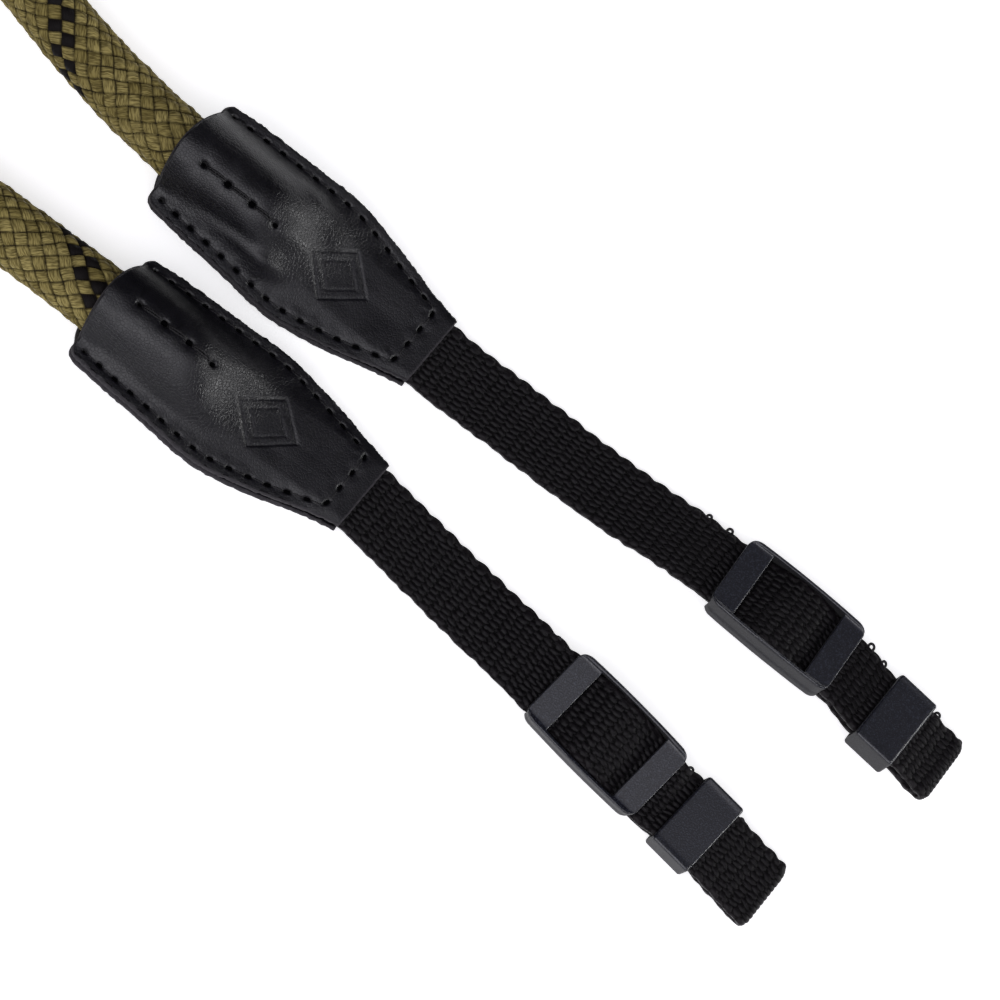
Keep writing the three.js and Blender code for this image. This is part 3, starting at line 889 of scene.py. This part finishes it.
def slider_waist(points):
    """The rails bow out a little, slope down towards the window, and step in along their outside."""
    x, y, z = points.T
    away, window, side = np.abs(y), WINDOW_WIDTH / 2, SLIDER_WIDTH / 2
    middle = 1 - (x / (SLIDER_LENGTH / 2)) ** 2
    on_rail = smooth(window - 0.4, window, away)
    step = smooth(window + 0.1, side, away) * smooth(RAIL_STEP_FROM, RAIL_STEP_UNTIL, z)
    ridge = np.clip((away - window) / (side - 0.25 - window), 0, 1)
    on_top = smooth(SLIDER_HEIGHT - 0.5, SLIDER_HEIGHT - 0.1, z) * (away > window)
    moved = points.copy()
    moved[:, 1] += np.sign(y) * (on_rail * SLIDER_BOW * middle - RAIL_STEP * step)
    moved[:, 2] += RAIL_RISE * middle * (z / SLIDER_HEIGHT) ** 2 * on_rail
    moved[:, 2] -= np.where(y < 0, RAIL_SLOPE, FAR_RAIL_SLOPE) * (1 - ridge) * on_top
    return moved


def keeper_shapes():
    """Four walls round the slot, fused into one closed loop, with a shallow dish on top."""
    half, side, middle = KEEPER_LENGTH / 2, KEEPER_WIDTH / 2, KEEPER_HEIGHT / 2
    size = (KEEPER_WIDTH, KEEPER_HEIGHT, KEEPER_LENGTH)
    for low, high in (
        ((-side, -middle), (side, -SLOT_HEIGHT / 2)),
        ((-side, SLOT_HEIGHT / 2), (side, middle)),
        ((-side, -middle), (-SLOT_WIDTH / 2, middle)),
        ((SLOT_WIDTH / 2, -middle), (side, middle)),
    ):
        points, faces = lattice_box((-half, *low), (half, *high))
        # its corners are rounded as seen along the strap, so it is stood on its end for that
        standing = inside_rounded(points[:, [1, 2, 0]] + [0, 0, half], size, KEEPER_CORNER)
        x, y, z = (standing[:, [2, 0, 1]] - [half, 0, 0]).T
        dish = 1 - smooth(side - 1.1, side - 0.35, np.abs(y))
        z = z - KEEPER_DISH * dish * smooth(middle - 0.3, middle, z) + middle
        yield np.stack([x, y, z], axis=1), faces


# half length, half width, bottom and top of each moulding's opening
SLIDER_OPENING = (BAR_INNER + 0.12, WINDOW_WIDTH / 2 + 0.1, -1, SLIDER_HEIGHT - 0.5)
KEEPER_OPENING = (KEEPER_LENGTH, SLOT_WIDTH / 2 + 0.1, 0.7, KEEPER_HEIGHT - 0.7)


def opening_mask(points, opening):
    """1 on the walls inside a moulding's opening, where the plastic is painted with shade, 0
    elsewhere.
    """
    half_length, half_width, low, high = opening
    x, y, z = points.T
    bowed = half_width + SLIDER_BOW * (1 - (x / (SLIDER_LENGTH / 2)) ** 2)
    inside = (np.abs(x) < half_length) & (np.abs(y) < bowed) & (z > low) & (z < high)
    return inside.astype(float)


def fused(shapes):
    """Fuses closed shapes that overlap into one softened mesh."""
    points, faces, total = [], [], 0
    for shape_points, shape_faces in shapes:
        points.append(shape_points)
        faces.extend((shape_faces + total).tolist())
        total += len(shape_points)
    rough = mesh_object("unfused", np.vstack(points) / MM, faces)
    fuse = rough.modifiers.new("fuse", "REMESH")
    fuse.mode = "VOXEL"
    fuse.voxel_size = VOXEL
    rough.modifiers.new("soften", "SMOOTH").iterations = SOFTENING
    evaluated = rough.evaluated_get(bpy.context.evaluated_depsgraph_get())
    mesh = bpy.data.meshes.new_from_object(evaluated)
    bpy.data.objects.remove(rough)
    return mesh


def read_vectors(items, key):
    values = np.empty(len(items) * 3)
    items.foreach_get(key, values)
    return values.reshape(-1, 3)


def moulded(name, shapes, place, opening, material):
    """One moulding, set on the route, with its marks: opening and wall, where shade is painted into
    the colour, and edge.
    """
    mesh = fused(shapes)
    points = read_vectors(mesh.vertices, "co")
    upward = read_vectors(mesh.vertex_normals, "vector")[:, 2]
    faces = [list(p.vertices) for p in mesh.polygons]
    bpy.data.meshes.remove(mesh)
    obj = mesh_object(name, set_on_route(points, *place), faces, material)
    # the side walls, whose colour is painted darker as shade, and which are made rougher
    wall = 1 - smooth(0.2, 0.7, upward)
    edge = smooth(0.35, 0.6, upward) * (1 - smooth(0.93, 0.985, upward))
    add_marks(obj, opening_mask(points, opening), wall, edge)
    return obj


# --- node materials ---


def operator(name):
    return lambda self, other: self.nodes.math(name, self, other)


class Value:
    """What a node gives: sums, products and the like of numbers make further nodes."""

    def __init__(self, nodes, socket):
        self.nodes, self.socket = nodes, socket

    __add__ = operator("ADD")
    __sub__ = operator("SUBTRACT")
    __mul__ = operator("MULTIPLY")
    __truediv__ = operator("DIVIDE")
    __mod__ = operator("FLOORED_MODULO")
    __pow__ = operator("POWER")

    def __rsub__(self, other):
        return self.nodes.math("SUBTRACT", other, self)

    def __abs__(self):
        return self.nodes.math("ABSOLUTE", self)


class Nodes:
    """A node tree that is built up one node at a time."""

    def __init__(self, tree):
        self.tree = tree

    def feed(self, socket, value):
        if isinstance(value, Value):
            self.tree.links.new(value.socket, socket)
        elif socket.type == "RGBA":
            socket.default_value = (*value, 1)
        else:
            socket.default_value = value

    def node(self, kind, inputs=(), **settings):
        """A new node; inputs are by name in a dict, or else by place."""
        node = self.tree.nodes.new("ShaderNode" + kind)
        for key, value in settings.items():
            setattr(node, key, value)
        for key, value in inputs.items() if isinstance(inputs, dict) else enumerate(inputs):
            self.feed(node.inputs[key], value)
        return node

    def add(self, kind, inputs=(), output=0, **settings):
        return Value(self, self.node(kind, inputs, **settings).outputs[output])

    def math(self, operation, *values):
        return self.add("Math", values, operation=operation)

    def most(self, first, second):
        return self.math("MAXIMUM", first, second)


class Shader(Nodes):
    """A principled material and what the strap's materials are mixed from."""

    def __init__(self, name):
        self.material = bpy.data.materials.new(name)
        self.material.use_nodes = True
        super().__init__(self.material.node_tree)
        self.tree.nodes.clear()
        self.surface = self.node("BsdfPrincipled")
        output = self.node("OutputMaterial")
        self.tree.links.new(self.surface.outputs[0], output.inputs["Surface"])

    def floor(self, value):
        return self.math("FLOOR", value)

    def root(self, value):
        return self.math("SQRT", value)

    def spread(self, value, low, high, to_low=0.0, to_high=1.0):
        """Maps a value from one range to another, clamped."""
        return self.add("MapRange", (value, low, high, to_low, to_high))

    def blend(self, factor, first, second):
        """From the first colour to the second as the factor goes from 0 to 1."""
        return self.add("Mix", {"Factor": factor, 6: first, 7: second}, 2, data_type="RGBA")

    def vector(self, *parts):
        return self.add("CombineXYZ", parts)

    def mm(self, stretch=(1, 1, 1)):
        """Object coordinates in millimetres."""
        place = self.add("TexCoord", output="Object")
        return self.add("Mapping", {"Vector": place, "Scale": tuple(s / MM for s in stretch)})

    def noise(self, vector, scale, detail=3.0):
        return self.add("TexNoise", {"Vector": vector, "Scale": scale, "Detail": detail}, "Fac")

    def bump(self, height, strength, distance, normal=None):
        inputs = {"Height": height, "Strength": strength, "Distance": distance * MM}
        if normal is not None:
            inputs["Normal"] = normal
        return self.add("Bump", inputs)

    def parts(self, kind, whole):
        """The three parts of a vector or of a colour."""
        return [Value(self, output) for output in self.node(kind, (whole,)).outputs]

    def weave(self):
        """The piece's own weave coordinates, first and second."""
        return self.parts("SeparateXYZ", self.add("UVMap", uv_map="weave"))[:2]

    def marks(self):
        """What add_marks keeps on each vertex."""
        layer = self.add("Attribute", output="Color", attribute_name="marks")
        return self.parts("SeparateColor", layer)

    def finished(self, **values):
        """Feeds the surface's sockets, by their names with _ for each space."""
        for key, value in values.items():
            self.feed(self.surface.inputs[key.replace("_", " ")], value)
        return self.material


TRACER_STRANDS = 2          # black strands of the braid's second hand


def rope_material():
    s = Shader("rope braid")
    a, b = s.weave()
    cell_a, cell_b = s.floor(a), s.floor(b)
    in_a, in_b = a - cell_a, b - cell_b
    second_on_top = s.math("GREATER_THAN", (cell_a + cell_b) % 2, 0.5)
    first_on_top = 1 - second_on_top
    across = in_a * first_on_top + in_b * second_on_top
    along = in_b * first_on_top + in_a * second_on_top
    strand = cell_b % BRAID_STRANDS
    is_tracer = s.math("LESS_THAN", strand, TRACER_STRANDS - 0.5) * second_on_top

    # filaments lie along each strand; painted shade darkens the gaps and corners round it, more in
    # some places than others
    thread = s.vector(across * 11 + cell_a * 7.3, along * 1.6, cell_b + cell_a * 3.1)
    filaments = s.noise(thread, 1, 2)
    edge, end = abs(across - 0.5), abs(along - 0.5)
    seam = s.spread(edge, 0, 0.07, 1, 0) * first_on_top
    gap = s.most(s.spread(edge, 0.39, 0.49), s.spread(end, 0.35, 0.49))
    corner = s.spread(edge, 0.3, 0.46) * s.spread(end, 0.26, 0.46)
    gap_shade_unevenness = s.spread(s.noise(s.mm(), 0.45, 2), 0.4, 0.6, 0.55, 1)
    gap = s.most(gap * gap_shade_unevenness, corner)

    shade = s.add("TexWhiteNoise", {"Vector": s.vector(cell_a, cell_b)}, "Value")
    olive = s.blend(shade, (0.222, 0.178, 0.057), (0.350, 0.287, 0.104))
    shaded = s.blend(0.72, olive, (0.05, 0.036, 0.010))
    olive = s.blend(s.spread(filaments, 0.38, 0.60), shaded, olive)
    colour = s.blend(is_tracer, olive, (0.009, 0.0075, 0.0075))
    colour = s.blend(seam * 0.45, colour, (0.05, 0.036, 0.012))
    # the base colour is painted near black in the gaps and corners between strands, as shade
    return s.finished(
        Base_Color=s.blend(gap * 0.94, colour, (0.006, 0.004, 0.002)),
        Roughness=s.spread(filaments, 0.3, 0.7, 0.75, 0.5),
        Normal=s.bump(filaments + seam * -0.5, 0.8, 0.14),
        Specular_IOR_Level=0.07,
    )


def leather_material():
    s = Shader("black leather")
    place = s.mm()
    dark, cut, _ = s.marks()
    warp, fine = s.noise(place, 0.35), s.noise(place, 4.2, 4)
    voronoi = {"Vector": place, "Scale": 2.1}
    cells = s.add("TexVoronoi", voronoi, "Distance", feature="DISTANCE_TO_EDGE")
    grain = s.spread(cells, 0, 0.16)
    creases = s.noise(s.mm((0.5, 1.6, 1.6)), 0.9, 5)
    base = s.blend(warp, (0.0018, 0.0016, 0.0032), (0.0052, 0.0047, 0.0080))
    base = s.blend(s.spread(grain, 0, 1, 0.7, 0), base, (0.001, 0.001, 0.001))
    fibres = s.blend(s.noise(place, 3.5, 5), (0.004, 0.004, 0.005), (0.050, 0.045, 0.052))
    # painted shade: the stitch holes go near black; the cut edges take their fibres' own colour
    base = s.blend(dark, s.blend(cut, base, fibres), (0.001, 0.001, 0.001))
    rough = s.spread(warp + fine * 0.5, 0.5, 1, 0.31, 0.42)
    normal = s.bump(grain, 0.42, 0.05)
    normal = s.bump(fine, 0.18, 0.05, normal)
    normal = s.bump(creases, 0.05, 0.15, normal)
    return s.finished(
        Base_Color=base,
        Roughness=s.most(rough, s.most(cut, dark) * 0.95),
        Normal=normal,
        Specular_IOR_Level=0.43,
    )


def thread_material():
    s = Shader("black thread")
    waves = {"Vector": s.mm(), "Scale": 1.1, "Distortion": 1.5, "Detail": 1}
    twist = s.add("TexWave", waves, "Fac", bands_direction="DIAGONAL")
    return s.finished(
        Base_Color=s.blend(twist, (0.0015, 0.0015, 0.002), (0.010, 0.009, 0.011)),
        Roughness=0.5,
        Normal=s.bump(twist, 0.6, 0.08),
        Specular_IOR_Level=0.3,
    )


def hole_material():
    s = Shader("stitch hole shadow")
    cloud = s.noise(s.mm(), 4)
    colour = s.blend(cloud, (0.0004, 0.0004, 0.0006), (0.0016, 0.0015, 0.0020))
    return s.finished(Base_Color=colour, Roughness=1, Specular_IOR_Level=0.02)


def webbing_material():
    s = Shader("black webbing")
    pick, warp = s.weave()
    edge, uneven, _ = s.marks()
    place = s.mm()
    ragged = (s.noise(place, 2, 4) - 0.5) * 0.9
    height = weave_height(pick + ragged, warp + ragged, s.floor, s.most, s.root)
    strands = s.noise(s.vector(pick * 1.6, warp * 3.4), 1)
    colour = s.blend(s.noise(place, 0.12, 2), (0.0027, 0.0022, 0.0030), (0.0050, 0.0040, 0.0054))
    colour = s.blend(s.spread(uneven, 0.42, 0.6, 0.4, 0), colour, (0.0016, 0.0013, 0.0018))
    colour = s.blend(s.spread(strands, 0.45, 0.7, 0, 0.6), colour, (0.0105, 0.0086, 0.0108))
    # painted shade: the pits between the floats go near black
    pit_shade = s.spread(height, 0.1, 0.65, 1, 0)
    colour = s.blend(pit_shade * 0.95, colour, (0.0003, 0.0002, 0.0003))
    loops = s.blend(s.noise(place, 1.8), (0.0016, 0.0013, 0.0016), (0.020, 0.016, 0.019))
    return s.finished(
        Base_Color=s.blend(edge * 0.5, colour, loops),
        Roughness=s.spread(strands + pit_shade, 0.4, 1.2, 0.38, 0.9),
        Normal=s.bump(height + strands * 0.45, 0.7, 0.16),
        Specular_IOR_Level=0.15,
    )


def plastic_material():
    s = Shader("dark moulded plastic")
    place = s.mm()
    opening_shade, wall, edge = s.marks()
    stipple, cloud = s.noise(place, 4.6), s.noise(place, 0.22)
    base = s.blend(cloud, (0.0060, 0.0062, 0.0096), (0.0100, 0.0103, 0.0155))
    base = s.blend(s.spread(stipple, 0.50, 0.68, 0, 0.7), base, (0.046, 0.051, 0.069))
    # painted shade: the side walls are darker
    base = s.blend(wall * 0.6, base, (0.004, 0.0035, 0.004))
    rough = s.most(s.spread(stipple, 0.3, 0.7, 0.44, 0.30), wall * 0.62)
    rough = rough * s.spread(edge, 0, 1, 1, 0.5)
    # the base colour is painted near black inside the openings, as shade
    return s.finished(
        Base_Color=s.blend(opening_shade * 0.9, base, (0.0006, 0.0005, 0.0008)),
        Roughness=s.most(rough, opening_shade),
        Normal=s.bump(stipple, 0.8, 0.06),
        Specular_IOR_Level=0.58,
    )


def floor_material():
    s = Shader("pale floor")
    speck = s.noise(s.mm(), 0.02, 2)
    return s.finished(
        Base_Color=s.blend(speck, (0.90, 0.90, 0.90), (0.93, 0.93, 0.93)),
        Roughness=0.9,
        Emission_Color=(1, 1, 1),
        Emission_Strength=0.56,
        Specular_IOR_Level=0,
    )


# --- floor and lights ---

FLOOR_REACH, FLOOR_TOP = 1600, -0.05
LAMPS = {
    # place, target and size in metres, and power
    "near side": ((-0.10, -0.60, 0.77), (0, 0, 0), (0.90, 0.50), 1.4),
    "beyond the tips": ((0.93, 0.12, 0.27), (0.03, 0, 0), (0.30, 0.16), 2.7),
    "beyond end a": ((0.72, 0.58, 0.33), (0.045, 0.016, 0), (0.22, 0.16), 1.9),
}
TENT_LEAN = math.radians(33)     # how far the tent's bright middle leans towards -Y
TENT_BRIGHT, TENT_DIM, TENT_FALLOFF = 2.12, 0.023, 4.5
TENT_COLOUR = (0.94, 0.925, 1.0)
BACKDROP = 1.1                   # how bright the tent looks beyond the floor's edge


def make_floor(material):
    around = ((-1, -1), (1, -1), (1, 1), (-1, 1))
    corners = [(x * FLOOR_REACH, y * FLOOR_REACH, FLOOR_TOP) for x, y in around]
    floor = mesh_object("floor", corners, [[0, 1, 2, 3]], material)


def softbox(name, place, target, size, power):
    data = bpy.data.lights.new(name, "AREA")
    data.shape = "RECTANGLE"
    data.size, data.size_y = size
    data.energy = power
    lamp = link(bpy.data.objects.new(name, data))
    lamp.location = place
    lamp.rotation_mode = "QUATERNION"
    lamp.rotation_quaternion = (Vector(target) - Vector(place)).to_track_quat("-Z", "Y")


def make_world():
    """A soft light tent: bright above the near side, dimming towards the far horizon."""
    world = bpy.data.worlds.new("tent")
    bpy.context.scene.world = world
    world.use_nodes = True
    s = Nodes(world.node_tree)
    towards = (0, -math.sin(TENT_LEAN), math.cos(TENT_LEAN))
    place = s.add("TexCoord", output="Generated")
    facing = s.add("VectorMath", (place, towards), "Value", operation="DOT_PRODUCT")
    lit = s.most(facing, 0) ** TENT_FALLOFF * TENT_BRIGHT + TENT_DIM
    seen = s.add("LightPath", output="Is Camera Ray")
    background = world.node_tree.nodes["Background"]
    s.feed(background.inputs["Strength"], s.most(lit, seen * BACKDROP))
    s.feed(background.inputs["Color"], TENT_COLOUR)


def make_stage():
    make_floor(floor_material())
    make_world()
    for name, lamp in LAMPS.items():
        softbox(name, *lamp)
    bpy.context.scene.view_settings.view_transform = "Standard"
    bpy.context.scene.view_settings.look = "None"


# --- the whole strap ---


def dress(piece, node):
    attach(piece, "root")
    if node:
        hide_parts(node)


def declare_rope(piece, path, length):
    tuple(c * MM for c in ROPE_ROUTE[1])


def make_end(key, end, leather, thread, hole, web, plastic):
    for layer, side in (("top", 1), ("bottom", -1)):
        tab = make_tab_layer(f"leather_{layer}_{key}", end, side, leather)
        dress(tab, f"tab_{layer}_{key}")
    dress(make_threads(f"stitching_{key}", stitch_paths(end), thread), None)
    dress(make_threads(f"stitch_hole_shade_{key}", hole_paths(end), hole), None)
    dress(make_webbing(f"woven_webbing_{key}", end, web), f"webbing_{key}")
    dress(make_threads(f"loose_loops_{key}", loop_paths(end), thread), None)
    for kind, shapes, opening in (
        ("slider", slider_shapes(), SLIDER_OPENING),
        ("keeper", keeper_shapes(), KEEPER_OPENING),
    ):
        place = (end["route"], end[kind], end[kind + "_shift"])
        piece = moulded(f"moulded_{kind}_{key}", shapes, place, opening, plastic)
        dress(piece, f"{kind}_{key}")


def make_strap():
    rope, path, length = make_rope(rope_material())
    dress(rope, "rope")
    declare_rope(rope, path, length)
    materials = (
        leather_material(), thread_material(), hole_material(), webbing_material(), plastic_material(),
    )
    for key, end in ENDS.items():
        make_end(key, end, *materials)


make_camera()
make_strap()
make_stage()
